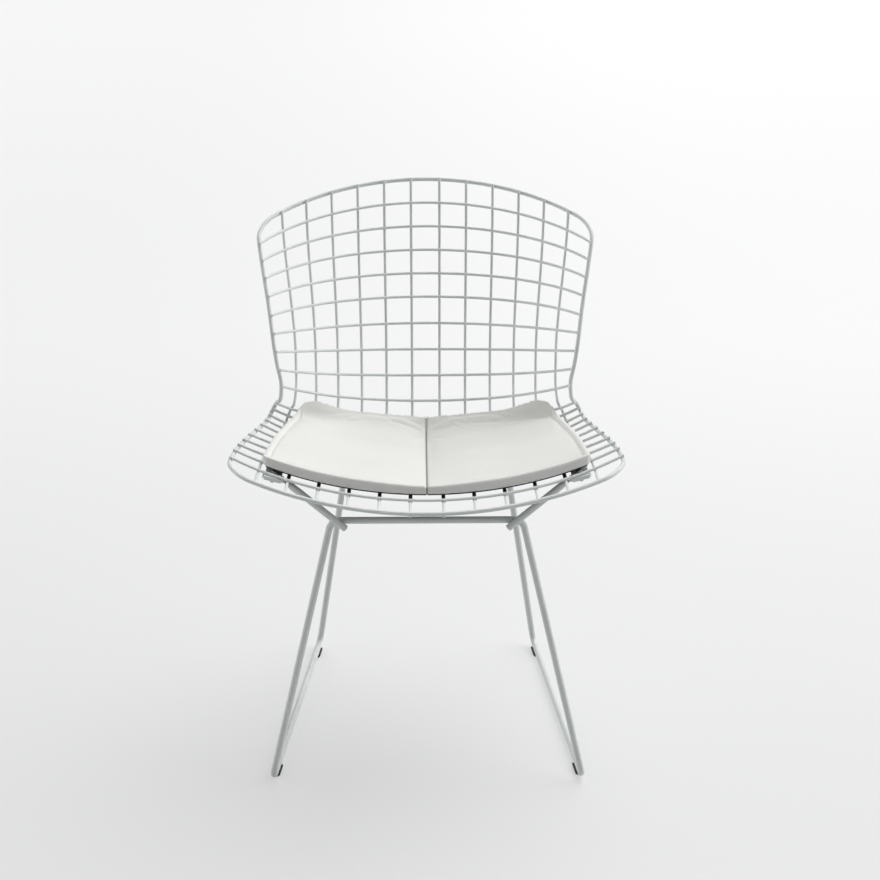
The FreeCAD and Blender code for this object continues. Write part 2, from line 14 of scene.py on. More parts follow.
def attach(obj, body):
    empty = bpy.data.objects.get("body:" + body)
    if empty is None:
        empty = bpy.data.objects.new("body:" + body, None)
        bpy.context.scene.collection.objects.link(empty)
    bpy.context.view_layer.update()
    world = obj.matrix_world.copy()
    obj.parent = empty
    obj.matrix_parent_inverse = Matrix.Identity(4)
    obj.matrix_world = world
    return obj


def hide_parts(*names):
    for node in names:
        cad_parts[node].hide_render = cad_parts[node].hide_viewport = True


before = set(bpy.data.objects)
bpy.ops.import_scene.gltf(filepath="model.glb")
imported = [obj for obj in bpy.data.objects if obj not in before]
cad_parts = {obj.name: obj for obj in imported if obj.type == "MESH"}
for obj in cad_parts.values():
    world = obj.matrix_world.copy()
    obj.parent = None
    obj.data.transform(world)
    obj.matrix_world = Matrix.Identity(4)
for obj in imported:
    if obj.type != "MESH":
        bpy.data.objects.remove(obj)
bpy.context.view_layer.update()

BODY = "root"
MM = 0.001
MERGE_DISTANCE = 0.01 * MM
SMALLEST_LENGTH = 1e-9

VECTOR = "NodeSocketVector"
COLOUR = "NodeSocketColor"
NUMBER = "NodeSocketFloat"
MIX_SHARE, MIX_FIRST, MIX_SECOND = 0, 6, 7
MIX_RESULT = 2

Tone = tuple[float, float, float]

logging.basicConfig(level=logging.INFO, format="%(levelname)s %(message)s")
LOG = logging.getLogger("wire_chair")


class Slot(Enum):
    """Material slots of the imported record."""

    FRAME_PAINT = "frame_paint"
    PAD_LEATHER = "pad_leather"
    PAD_BASE = "pad_base"


class Side(Enum):
    """Left and right as seen from the front, with the sign of X."""

    LEFT = ("left", -1)
    RIGHT = ("right", 1)

    @property
    def label(self) -> str:
        """Word used in node names."""
        return self.value[0]

    @property
    def sign(self) -> int:
        """Sign of X on this side."""
        return self.value[1]


class ShaderDesk:
    """Adds and joins shader nodes in one tree."""

    def __init__(self, tree: bpy.types.NodeTree) -> None:
        """Takes the tree to work in.

        Args:
            tree: Node tree of a material or of a node group.
        """
        self.tree = tree

    def join(self, source: bpy.types.NodeSocket, target: bpy.types.NodeSocket) -> None:
        """Links an output to an input."""
        self.tree.links.new(source, target)

    def feed(self, target: bpy.types.NodeSocket, value: object) -> None:
        """Links an input to a socket or sets it to a plain value.

        Args:
            target: Input to feed.
            value: Output socket, number, vector or colour.
        """
        if isinstance(value, bpy.types.NodeSocket):
            self.join(value, target)
        else:
            target.default_value = value

    def add(self, kind: str, **values: object) -> bpy.types.Node:
        """Adds one node.

        Args:
            kind: Type name of the node.
            values: Node properties, or what feeds its inputs, with underscores for spaces.

        Returns:
            The new node.
        """
        node = self.tree.nodes.new(kind)
        for name, value in values.items():
            if hasattr(node, name):
                setattr(node, name, value)
            else:
                self.feed(node.inputs[name.replace("_", " ")], value)
        return node

    def maths(self, operation: str, first: object, second: object) -> bpy.types.NodeSocket:
        """Adds a Math node.

        Args:
            operation: Name of the operation.
            first: Socket or number for the first input.
            second: Socket or number for the second input.

        Returns:
            The result's socket.
        """
        node = self.add("ShaderNodeMath", operation=operation)
        for target, value in zip(node.inputs, (first, second)):
            self.feed(target, value)
        return node.outputs[0]

    def mix(
        self, share: object, first: object, second: object, **values: object
    ) -> bpy.types.NodeSocket:
        """Adds a colour Mix node.

        Args:
            share: Socket or number for the share of the second colour.
            first: Socket or colour.
            second: Socket or colour.
            values: Node properties.

        Returns:
            The mixed colour's socket.
        """
        node = self.add("ShaderNodeMix", data_type="RGBA", **values)
        for index, value in ((MIX_SHARE, share), (MIX_FIRST, first), (MIX_SECOND, second)):
            self.feed(node.inputs[index], value)
        return node.outputs[MIX_RESULT]

    def remap(self, source: bpy.types.NodeSocket, **limits: object) -> bpy.types.NodeSocket:
        """Stretches a value and keeps it between its limits.

        Args:
            source: Value to stretch.
            limits: From_Min, From_Max, To_Min and To_Max where they aren't 0 and 1.

        Returns:
            The stretched value's socket.
        """
        node = self.add("ShaderNodeMapRange", clamp=True, Value=source, **limits)
        return node.outputs["Result"]


class GroupShop:
    """Builds each shared shader group once."""

    cloud_limits: ClassVar[tuple[float, float]] = (0.32, 0.68)
    warp_scale: ClassVar[float] = 220.0
    warp_reach: ClassVar[float] = 1.2 * MM
    crease_width: ClassVar[float] = 0.16
    roll_scale: ClassVar[float] = 70.0
    roll_weight: ClassVar[float] = 1.6

    @staticmethod
    def _start(
        name: str, inputs: dict[str, str], outputs: dict[str, str]
    ) -> tuple[ShaderDesk, bpy.types.NodeOutputs, bpy.types.NodeInputs]:
        """Starts a group that reads a Position.

        Args:
            name: Name of the group.
            inputs: Socket type of each other input by name.
            outputs: Socket type of each output by name.

        Returns:
            The group's desk, the sockets it is given and the sockets it has to feed.
        """
        tree = bpy.data.node_groups.new(name, "ShaderNodeTree")
        for label, kind in {"Position": VECTOR, **inputs}.items():
            tree.interface.new_socket(name=label, in_out="INPUT", socket_type=kind)
        for label, kind in outputs.items():
            tree.interface.new_socket(name=label, in_out="OUTPUT", socket_type=kind)
        desk = ShaderDesk(tree)
        return desk, desk.add("NodeGroupInput").outputs, desk.add("NodeGroupOutput").inputs

    @staticmethod
    def _raise(
        desk: ShaderDesk, given: bpy.types.NodeOutputs, height: bpy.types.NodeSocket
    ) -> bpy.types.NodeSocket:
        """Turns a height into a normal.

        Args:
            desk: Desk of the group.
            given: The group's inputs, with its Strength and Depth.
            height: Height between 0 and 1.

        Returns:
            The normal's socket.
        """
        bump = desk.add("ShaderNodeBump", Height=height, Strength=given["Strength"],
                        Distance=given["Depth"])
        return bump.outputs["Normal"]

    @cached_property
    def cloudy_tint(self) -> bpy.types.NodeTree:
        """Slow change between two colours.

        Returns:
            Group with a Colour output and a Cloud mask.
        """
        desk, given, wanted = self._start(
            "cloudy_tint",
            inputs={"Light Tone": COLOUR, "Dark Tone": COLOUR, "Scale": NUMBER},
            outputs={"Colour": COLOUR, "Cloud": NUMBER},
        )
        cloud = desk.add("ShaderNodeTexNoise", Vector=given["Position"], Scale=given["Scale"],
                         Detail=5.0, Roughness=0.6)
        low, high = self.cloud_limits
        mask = desk.remap(cloud.outputs["Fac"], From_Min=low, From_Max=high)
        desk.join(desk.mix(mask, given["Dark Tone"], given["Light Tone"]), wanted["Colour"])
        desk.join(mask, wanted["Cloud"])
        return desk.tree

    @cached_property
    def fine_relief(self) -> bpy.types.NodeTree:
        """Small even bumps, as in sprayed powder or moulded plastic.

        Returns:
            Group with a Normal output and a Speckle mask.
        """
        desk, given, wanted = self._start(
            "fine_relief",
            inputs={"Scale": NUMBER, "Strength": NUMBER, "Depth": NUMBER},
            outputs={"Normal": VECTOR, "Speckle": NUMBER},
        )
        grain = desk.add("ShaderNodeTexNoise", Vector=given["Position"], Scale=given["Scale"],
                         Detail=3.0, Roughness=0.5)
        desk.join(self._raise(desk, given, grain.outputs["Fac"]), wanted["Normal"])
        desk.join(grain.outputs["Fac"], wanted["Speckle"])
        return desk.tree

    @cached_property
    def hide_grain(self) -> bpy.types.NodeTree:
        """Pebbled cells with fine creases, as on embossed upholstery leather.

        Returns:
            Group with Normal, Crease and Pebble outputs.
        """
        desk, given, wanted = self._start(
            "hide_grain",
            inputs={"Scale": NUMBER, "Strength": NUMBER, "Depth": NUMBER},
            outputs={"Normal": VECTOR, "Crease": NUMBER, "Pebble": NUMBER},
        )
        warp = desk.add("ShaderNodeTexNoise", Vector=given["Position"], Scale=self.warp_scale,
                        Detail=2.0)
        shift = desk.add("ShaderNodeVectorMath", operation="MULTIPLY_ADD")
        terms = (warp.outputs["Color"], (self.warp_reach,) * 3, given["Position"])
        for target, value in zip(shift.inputs, terms):
            desk.feed(target, value)
        cells = desk.add("ShaderNodeTexVoronoi", feature="DISTANCE_TO_EDGE",
                         Vector=shift.outputs[0], Scale=given["Scale"])
        pebble = desk.remap(cells.outputs["Distance"], From_Max=self.crease_width)
        rolls = desk.add("ShaderNodeTexNoise", Vector=given["Position"], Scale=self.roll_scale,
                         Detail=4.0, Roughness=0.55).outputs["Fac"]
        height = desk.maths("ADD", pebble, desk.maths("MULTIPLY", rolls, self.roll_weight))
        desk.join(self._raise(desk, given, height), wanted["Normal"])
        desk.join(desk.maths("SUBTRACT", 1.0, pebble), wanted["Crease"])
        desk.join(rolls, wanted["Pebble"])
        return desk.tree


GROUPS = GroupShop()


def place_group(
    desk: ShaderDesk, tree: bpy.types.NodeTree, position: bpy.types.NodeSocket, **values: object
) -> bpy.types.NodeOutputs:
    """Puts a shared group in a material.

    Args:
        desk: Desk of the material.
        tree: The group.
        position: Socket with the Object coordinates.
        values: What feeds the other inputs, with underscores for spaces.

    Returns:
        The group's outputs.
    """
    node = desk.tree.nodes.new("ShaderNodeGroup")
    node.node_tree = tree
    for name, value in {"Position": position, **values}.items():
        desk.feed(node.inputs[name.replace("_", " ")], value)
    return node.outputs


def opaque(colour: Tone) -> tuple[float, float, float, float]:
    """A colour with full alpha."""
    return (*colour, 1.0)


def fresh_material(name: str) -> tuple[bpy.types.Material, ShaderDesk, bpy.types.Node]:
    """Starts a material.

    Args:
        name: Name of the material.

    Returns:
        The material, its desk and its Principled shader.
    """
    material = bpy.data.materials.new(name)
    material.use_nodes = True
    desk = ShaderDesk(material.node_tree)
    shader = next(n for n in desk.tree.nodes if n.type == "BSDF_PRINCIPLED")
    return material, desk, shader


@dataclass(frozen=True)
class Finish:
    """Two slowly changing tones under a fine relief.

    Args:
        light_tone: Main colour.
        dark_tone: Colour in its slow clouds.
        roughness: Lowest and highest roughness.
        cloud_scale: Clouds per metre.
        relief_scale: Bumps of the relief per metre.
        relief_strength: Strength of the relief, up to 1.
        relief_depth: Depth of the relief in metres.
        shine: Other values of the shader by name.
    """

    light_tone: Tone
    dark_tone: Tone
    roughness: tuple[float, float]
    cloud_scale: float
    relief_scale: float
    relief_strength: float
    relief_depth: float
    shine: tuple[tuple[str, float], ...] = ()
    rough_mask: ClassVar[str] = "Speckle"

    def relief_group(self) -> bpy.types.NodeTree:
        """Shader group of the relief."""
        return GROUPS.fine_relief

    def colour(
        self, desk: ShaderDesk, masks: dict[str, bpy.types.NodeSocket]
    ) -> bpy.types.NodeSocket:
        """Final colour from the groups' outputs by name."""
        return masks["Colour"]

    def build(self, name: str) -> bpy.types.Material:
        """Makes the finish.

        Args:
            name: Name of the material.

        Returns:
            The material.
        """
        material, desk, shader = fresh_material(name)
        place = desk.add("ShaderNodeTexCoord").outputs["Object"]
        tint = place_group(desk, GROUPS.cloudy_tint, place, Scale=self.cloud_scale,
                           Light_Tone=opaque(self.light_tone), Dark_Tone=opaque(self.dark_tone))
        relief = place_group(desk, self.relief_group(), place, Scale=self.relief_scale,
                             Strength=self.relief_strength, Depth=self.relief_depth)
        masks = {socket.name: socket for socket in (*tint, *relief)}
        smooth, rough = self.roughness
        roughness = desk.remap(masks[self.rough_mask], To_Min=smooth, To_Max=rough)
        desk.join(self.colour(desk, masks), shader.inputs["Base Color"])
        desk.join(roughness, shader.inputs["Roughness"])
        desk.join(masks["Normal"], shader.inputs["Normal"])
        for label, value in self.shine:
            shader.inputs[label].default_value = value
        return material


@dataclass(frozen=True)
class PowderCoat(Finish):
    """Satin powder paint on welded steel."""

    light_tone: Tone = (0.765, 0.80, 0.785)
    dark_tone: Tone = (0.71, 0.745, 0.73)
    roughness: tuple[float, float] = (0.30, 0.42)
    cloud_scale: float = 14.0
    relief_scale: float = 750.0
    relief_strength: float = 0.12
    relief_depth: float = 0.0002
    shine: tuple[tuple[str, float], ...] = (("Coat Weight", 0.15), ("Coat Roughness", 0.25))
    rough_mask: ClassVar[str] = "Cloud"


@dataclass(frozen=True)
class UpholsteryLeather(Finish):
    """Off-white embossed leather with a soft shine.

    Args:
        crease_shade_tone: Colour of the painted shade in the creases of the grain.
        crease_shade_share: Share of that painted shade in the deepest crease.
    """

    light_tone: Tone = (0.88, 0.88, 0.86)
    dark_tone: Tone = (0.845, 0.845, 0.82)
    roughness: tuple[float, float] = (0.42, 0.56)
    cloud_scale: float = 9.0
    relief_scale: float = 850.0
    relief_strength: float = 0.35
    relief_depth: float = 0.0002
    shine: tuple[tuple[str, float], ...] = (("Sheen Weight", 0.08), ("Sheen Roughness", 0.4))
    crease_shade_tone: Tone = (0.66, 0.63, 0.55)
    crease_shade_share: float = 0.35
    rough_mask: ClassVar[str] = "Pebble"

    def relief_group(self) -> bpy.types.NodeTree:
        """Shader group of the leather's grain."""
        return GROUPS.hide_grain

    def colour(
        self, desk: ShaderDesk, masks: dict[str, bpy.types.NodeSocket]
    ) -> bpy.types.NodeSocket:
        """Darkens the tint in the creases with painted shade.

        Args:
            desk: Desk of the material.
            masks: The groups' outputs by name.

        Returns:
            The colour's socket.
        """
        # Painted shade: the grain's creases are darkened where shade would fall.
        share = desk.maths("MULTIPLY", masks["Crease"], self.crease_shade_share)
        return desk.mix(share, masks["Colour"], opaque(self.crease_shade_tone))


@dataclass(frozen=True)
class DarkMoulding(Finish):
    """Dark plastic and backing cloth, and the black sleeves and dark seam thread that are painted
    shade, all with a fine relief.
    """

    light_tone: Tone = (0.028, 0.028, 0.029)
    dark_tone: Tone = (0.014, 0.014, 0.015)
    roughness: tuple[float, float] = (0.5, 0.7)
    cloud_scale: float = 60.0
    relief_scale: float = 900.0
    relief_strength: float = 0.3
    relief_depth: float = 0.0003


@dataclass(frozen=True)
class PlatedSteel(Finish):
    """Bright zinc plate with a fine relief."""

    light_tone: Tone = (0.62, 0.63, 0.64)
    dark_tone: Tone = (0.45, 0.46, 0.47)
    roughness: tuple[float, float] = (0.28, 0.45)
    cloud_scale: float = 250.0
    relief_scale: float = 1500.0
    relief_strength: float = 0.2
    relief_depth: float = 0.0001
    shine: tuple[tuple[str, float], ...] = (("Metallic", 1.0),)


@dataclass(frozen=True)
class StudioPaper:
    """Pale seamless studio floor, whose glow has painted light falloff: brighter far away and on
    the right.

    Args:
        paper: Colour of the paper in the lamps' light.
        roughness: Roughness of the paper.
        specular: Strength of its shine.
        tones: Depth from 0 at the front to 1 at the back, and the painted light falloff of the
            glow there.
        near_y: Y of depth 0.
        far_y: Y of depth 1.
        half_width: Distance from the middle to where the left and the right tone are reached.
        left_falloff: Share of the glow kept at the far left, as painted light falloff.
        glow_share: Share of the paper's painted glow in what the camera sees.
        glow_strength: Strength of that tone.
    """

    paper: Tone = (0.55, 0.553, 0.553)
    roughness: float = 0.8
    specular: float = 0.1
    tones: tuple[tuple[float, float], ...] = (
        (0.0, 0.73),
        (0.1, 0.80),
        (0.35, 0.92),
        (1.0, 1.0),
    )
    near_y: float = -0.5
    far_y: float = 6.0
    half_width: float = 1.1
    left_falloff: float = 0.88
    glow_share: float = 0.4
    glow_strength: float = 1.68

    def painted_falloff(self, desk: ShaderDesk) -> bpy.types.NodeSocket:
        """Makes the painted light falloff of the paper's glow.

        Args:
            desk: Desk of the material.

        Returns:
            The tone's socket.
        """
        place = desk.add("ShaderNodeTexCoord").outputs["Object"]
        split = desk.add("ShaderNodeSeparateXYZ")
        desk.join(place, split.inputs[0])
        # Painted light falloff: the glow gets darker towards the front and dimmer at the left.
        depth = desk.remap(split.outputs["Y"], From_Min=self.near_y, From_Max=self.far_y)
        ramp = desk.add("ShaderNodeValToRGB", Fac=depth)
        band = ramp.color_ramp
        band.interpolation = "EASE"
        band.elements[0].position, band.elements[-1].position = self.tones[0][0], self.tones[-1][0]
        for index, (position, painted_falloff) in enumerate(self.tones):
            if 0 < index < len(self.tones) - 1:
                band.elements.new(position)
            band.elements[index].color = opaque((painted_falloff,) * 3)
        aside = desk.remap(split.outputs["X"], interpolation_type="SMOOTHSTEP",
                           From_Min=-self.half_width, From_Max=self.half_width,
                           To_Min=self.left_falloff)
        return desk.mix(1.0, ramp.outputs["Color"], aside, blend_type="MULTIPLY")

    def build(self, name: str) -> bpy.types.Material:
        """Makes the paper, which shows the camera some of its painted glow.

        Args:
            name: Name of the material.

        Returns:
            The material.
        """
        material, desk, shader = fresh_material(name)
        shader.inputs["Base Color"].default_value = opaque(self.paper)
        shader.inputs["Roughness"].default_value = self.roughness
        shader.inputs["Specular IOR Level"].default_value = self.specular
        glow = desk.add("ShaderNodeEmission", Color=self.painted_falloff(desk), Strength=self.glow_strength)
        path = desk.add("ShaderNodeLightPath").outputs
        seen = desk.maths("MAXIMUM", path["Is Camera Ray"],
                          desk.maths("MAXIMUM", path["Is Glossy Ray"],
                                     path["Is Transmission Ray"]))
        blend = desk.add("ShaderNodeMixShader")
        terms = (desk.maths("MULTIPLY", seen, self.glow_share), shader.outputs["BSDF"],
                 glow.outputs["Emission"])
        for target, value in zip(blend.inputs, terms):
            desk.feed(target, value)
        leave = next(n for n in desk.tree.nodes if n.type == "OUTPUT_MATERIAL")
        desk.join(blend.outputs[0], leave.inputs["Surface"])
        return material


def deselect_all() -> None:
    """Leaves object mode with nothing selected."""
    if bpy.context.object is not None and bpy.context.object.mode != "OBJECT":
        bpy.ops.object.mode_set(mode="OBJECT")
    bpy.ops.object.select_all(action="DESELECT")


def make_active(piece: bpy.types.Object) -> None:
    """Selects one object alone and makes it active.

    Args:
        piece: The object.
    """
    deselect_all()
    piece.select_set(True)
    bpy.context.view_layer.objects.active = piece


def apply_modifier(piece: bpy.types.Object, kind: str, **settings: object) -> None:
    """Adds a modifier and applies it.

    Args:
        piece: Object to change.
        kind: Type of the modifier.
        settings: Its settings by name.
    """
    make_active(piece)
    modifier = piece.modifiers.new(kind.lower(), kind)
    for name, value in settings.items():
        setattr(modifier, name, value)
    bpy.ops.object.modifier_apply(modifier=modifier.name)


def read_rows(piece: bpy.types.Object, what: str) -> np.ndarray:
    """Reads three numbers of each vertex of a mesh object.

    Args:
        piece: The object.
        what: Name of the vertex property.

    Returns:
        One row of X, Y, Z per vertex.
    """
    rows = np.empty(len(piece.data.vertices) * 3)
    piece.data.vertices.foreach_get(what, rows)
    return rows.reshape(-1, 3)


def read_points(piece: bpy.types.Object) -> np.ndarray:
    """Vertex positions of a mesh object, one row each."""
    return read_rows(piece, "co")


def read_normals(piece: bpy.types.Object) -> np.ndarray:
    """Vertex normals of a mesh object, one row each."""
    return read_rows(piece, "normal")


def write_points(piece: bpy.types.Object, points: np.ndarray) -> None:
    """Moves the vertices of a mesh object.

    Args:
        piece: The object.
        points: One row of X, Y, Z per vertex.
    """
    piece.data.vertices.foreach_set("co", points.ravel())
    piece.data.update()


def dress(piece: bpy.types.Object, material: bpy.types.Material) -> None:
    """Gives an object one material.

    Args:
        piece: The object.
        material: The material.
    """
    if piece.data.materials:
        for holder in piece.material_slots:
            holder.material = material
    else:
        piece.data.materials.append(material)


def hold(piece: bpy.types.Object) -> bpy.types.Object:
    """Fixes a new piece to the chair.

    Args:
        piece: Finished object.

    Returns:
        The same object.
    """
    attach(piece, BODY)
    return piece


def merge(piece: bpy.types.Object, close: bool = False) -> None:
    """Merges doubled vertices and turns the faces outwards.

    Args:
        piece: Object to change.
        close: True to close its open ends too.
    """
    make_active(piece)
    bpy.ops.object.mode_set(mode="EDIT")
    bpy.ops.mesh.select_all(action="SELECT")
    bpy.ops.mesh.remove_doubles(threshold=MERGE_DISTANCE)
    if close:
        bpy.ops.mesh.fill_holes(sides=0)
    bpy.ops.mesh.normals_make_consistent(inside=False)
    bpy.ops.object.mode_set(mode="OBJECT")


def copy_node(node: str, name: str) -> bpy.types.Object:
    """Copies a CAD node's mesh into a new closed piece.

    Args:
        node: Name of the CAD node.
        name: Name of the new piece.

    Returns:
        The new object, with doubled vertices merged.
    """
    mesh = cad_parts[node].data.copy()
    mesh.materials.clear()
    piece = bpy.data.objects.new(name, mesh)
    bpy.context.collection.objects.link(piece)
    merge(piece)
    bpy.ops.mesh.customdata_custom_splitnormals_clear()
    return piece


@dataclass
class PanelOutline:
    """Plan outline of one half of the pad, read from its CAD node.

    Args:
        node: Name of the node.
        sign: Sign of X on its side.
    """

    node: str
    sign: int
    front_seam: Vector = field(init=False)
    front_corner: Vector = field(init=False)
    rear_seam: Vector = field(init=False)
    rear_corner: Vector = field(init=False)
    seam_share: ClassVar[float] = 0.02
    side_share: ClassVar[float] = 0.1
    front_lean: ClassVar[float] = -0.2
    rear_lean: ClassVar[float] = 1.4
    overrun: ClassVar[float] = 0.05

    def __post_init__(self) -> None:
        """Finds the four corners in plan."""
        points = read_points(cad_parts[self.node])
        out = points[:, 0] * self.sign
        seam = points[out < self.seam_share * out.max()]
        side = points[out > self.side_share * out.max()]
        self.front_seam = Vector(seam[seam[:, 1].argmin()][:2])
        self.rear_seam = Vector(seam[seam[:, 1].argmax()][:2])
        self.front_corner = self._farthest(side, self.front_lean)
        self.rear_corner = self._farthest(side, self.rear_lean)

    def _farthest(self, points: np.ndarray, lean: float) -> Vector:
        """Outermost point in one direction.

        Args:
            points: Vertex positions.
            lean: Weight of Y against the way outwards.

        Returns:
            The point in plan.
        """
        reach = points[:, 0] * self.sign + lean * points[:, 1]
        return Vector(points[reach.argmax()][:2])

    def edge_distances(self, points: np.ndarray) -> tuple[np.ndarray, np.ndarray, np.ndarray]:
        """Plan distances inwards from the three outer edges.

        Args:
            points: Vertex positions.

        Returns:
            Distance from the front, from the side and from the rear edge.
        """
        plan = points[:, :2]
        front = self._bowed(plan, self.front_seam, self.front_corner)
        side = self._straight(plan, self.front_corner, self.rear_corner)
        rear = self._bowed(plan, self.rear_seam, self.rear_corner)
        return front, side, rear

    def stitched_distance(self, points: np.ndarray) -> np.ndarray:
        """Plan distance inwards from the front or the side edge.

        Args:
            points: Vertex positions.

        Returns:
            The smaller of the two distances.
        """
        front, side, _ = self.edge_distances(points)
        return np.minimum(front, side)

    def round_corner(self, points: np.ndarray, at_rear: bool, radius: float) -> np.ndarray:
        """Draws an outer corner of the pad in to a round one.

        Args:
            points: Vertex positions.
            at_rear: True for the rear corner, False for the front one.
            radius: Radius in plan.

        Returns:
            The new positions.
        """
        front, side, rear = self.edge_distances(points)
        deep = np.clip(radius - (rear if at_rear else front), 0.0, radius) / radius
        wide = np.clip(radius - side, 0.0, radius) / radius
        new_deep = deep * np.sqrt(1 - wide**2 / 2)
        new_wide = wide * np.sqrt(1 - deep**2 / 2)
        moved = points.copy()
        moved[:, 0] -= self.sign * (wide - new_wide) * radius
        moved[:, 1] += (-1 if at_rear else 1) * (deep - new_deep) * radius
        return moved

    def _bowed(self, plan: np.ndarray, start: Vector, end: Vector) -> np.ndarray:
        """Distance from an edge that bows as the square of the way out.

        Args:
            plan: Plan positions.
            start: Edge's end at the seam.
            end: Edge's end at the side.

        Returns:
            Distance from the edge, without a sign.
        """
        span = end.x - start.x
        share = np.clip((plan[:, 0] - start.x) / span, -self.overrun, 1 + self.overrun)
        level = start.y + (end.y - start.y) * share**2
        slope = 2 * (end.y - start.y) * share / span
        return np.abs(plan[:, 1] - level) / np.sqrt(1 + slope**2)

    @staticmethod
    def _straight(plan: np.ndarray, start: Vector, end: Vector) -> np.ndarray:
        """Distance from a straight edge.

        Args:
            plan: Plan positions.
            start: One end.
            end: Other end.

        Returns:
            Distance from the edge, without a sign.
        """
        run = (end - start).normalized()
        offset = plan - np.array(start)
        return np.abs(offset[:, 0] * run.y - offset[:, 1] * run.x)


@dataclass(frozen=True)
class Cover:
    """Cut of the leather covers.

    Args:
        voxel: Size of the cover's faces.
        ironing: Rounds of smoothing.
        shrink: How far the cover starts inside the CAD panel.
        rear_radius: Radius of the outer rear corner in plan.
        front_radius: Radius of the outer front corner in plan.
    """

    voxel: float = 1.5 * MM
    ironing: int = 7
    shrink: float = 0.3 * MM
    rear_radius: float = 16.0 * MM
    front_radius: float = 7.0 * MM


@dataclass(frozen=True)
class Stuffing:
    """Cloth simulation that swells a coarse copy of a cover.

    Args:
        voxel: Size of the copy's faces.
        ironing: Rounds of smoothing.
        upward: Z of a normal above which a vertex belongs to the top.
        pressure: Pressure of the filling.
        frames: Length of the simulation.
        quality: Steps per frame.
        mass: Mass of a vertex.
        stretch: Stiffness against stretching and pressing.
        bending: Stiffness against bending.
        cap: Largest swelling that is kept.
        neighbours: Places that each vertex of the cover follows.
        blur: Distance that evens out their shares.
    """

    voxel: float = 3.5 * MM
    ironing: int = 3
    upward: float = 0.35
    pressure: float = 4.0
    frames: int = 20
    quality: int = 5
    mass: float = 0.2
    stretch: float = 12.0
    bending: float = 0.6
    cap: float = 2.0 * MM
    neighbours: int = 4
    blur: float = 0.3 * MM


@dataclass(frozen=True)
class Sewing:
    """Rolled edge, top stitching and middle seam.

    Args:
        inset: Distance of the stitching from the edge.
        width: Half the width of its groove.
        depth: Depth of its groove.
        roll: Height of the roll outside the stitching.
        seam_radius: Width of the rounding at the middle seam.
        seam_drop: Depth of that rounding.
        seam_gap: Distance of each panel from the seam's middle.
        wall_normal: Z of the normals below which nothing is shaped.
        wall_fade: Rise of Z from there to the fully shaped top.
    """

    inset: float = 9.5 * MM
    width: float = 1.5 * MM
    depth: float = 2.2 * MM
    roll: float = 2.4 * MM
    seam_radius: float = 5.5 * MM
    seam_drop: float = 3.2 * MM
    seam_gap: float = 0.15 * MM
    wall_normal: float = 0.2
    wall_fade: float = 0.4


@dataclass(frozen=True)
class SeamThread:
    """Dark thread in the seam between the panels, whose dark olive colour is painted shade for the
    seam's valley.

    Args:
        radius: Radius of the thread.
        rings: Points along its mesh.
        sides: Points round its mesh.
        crests: Points along the top of the seam.
        wall_reach: Distance from the middle within which vertices belong to the seam.
        window: Length over which the top of the seam is read.
        end_gap: Distance that the top run keeps from both ends of the seam.
        step: Length over which the thread's direction is read.
    """

    radius: float = 0.5 * MM
    rings: int = 180
    sides: int = 8
    crests: int = 60
    wall_reach: float = 1.2 * MM
    window: float = 3.0 * MM
    end_gap: float = 2.0 * MM
    step: float = 1.5 * MM

    def path(self, cover: bpy.types.Object) -> np.ndarray:
        """Course of the thread on the inner wall of a panel.

        Args:
            cover: The finished panel.

        Returns:
            Y and Z from the bottom of the front over the top to the bottom of the rear.
        """
        points = read_points(cover)
        wall = points[np.abs(points[:, 0]) < self.wall_reach]
        first, last = wall[:, 1].min(), wall[:, 1].max()
        steps = np.linspace(first + self.end_gap, last - self.end_gap, self.crests)
        crest = [wall[np.abs(wall[:, 1] - y) < self.window, 2].max() for y in steps]
        front_foot = wall[wall[:, 1] < first + self.window, 2].min()
        rear_foot = wall[wall[:, 1] > last - self.window, 2].min()
        return np.array([(first, front_foot), (first, crest[0] - self.end_gap),
                         *zip(steps, crest), (last, crest[-1] - self.end_gap),
                         (last, rear_foot)])

    def build(self, cover: bpy.types.Object, yarn: bpy.types.Material) -> bpy.types.Object:
        """Builds the thread.

        Args:
            cover: The finished panel that it follows.
            yarn: Its dark finish, painted shade for the seam's valley.

        Returns:
            The thread.
        """
        path = self.path(cover)
        run = np.concatenate([[0.0], np.cumsum(np.linalg.norm(np.diff(path, axis=0), axis=1))])
        deselect_all()
        bpy.ops.mesh.primitive_grid_add(x_subdivisions=self.sides, y_subdivisions=self.rings,
                                        size=1.0)
        thread = bpy.context.object
        thread.name = "pad_seam_thread"
        grid = read_points(thread)
        angle = (grid[:, 0] + 0.5) * 2 * math.pi
        along = (grid[:, 1] + 0.5) * run[-1]
        centre, ahead, behind = (
            np.column_stack([np.interp(along + way, run, path[:, i]) for i in (0, 1)])
            for way in (0.0, self.step, -self.step)
        )
        course = ahead - behind
        course /= np.linalg.norm(course, axis=1)[:, None]
        rise = self.radius * np.cos(angle)
        write_points(thread, np.column_stack([self.radius * np.sin(angle),
                                              centre[:, 0] - course[:, 1] * rise,
                                              centre[:, 1] + course[:, 0] * rise]))
        merge(thread, close=True)
        bpy.ops.object.shade_smooth()
        # Dark olive thread: painted shade in the valley of the middle seam.
        dress(thread, yarn)
        return hold(thread)


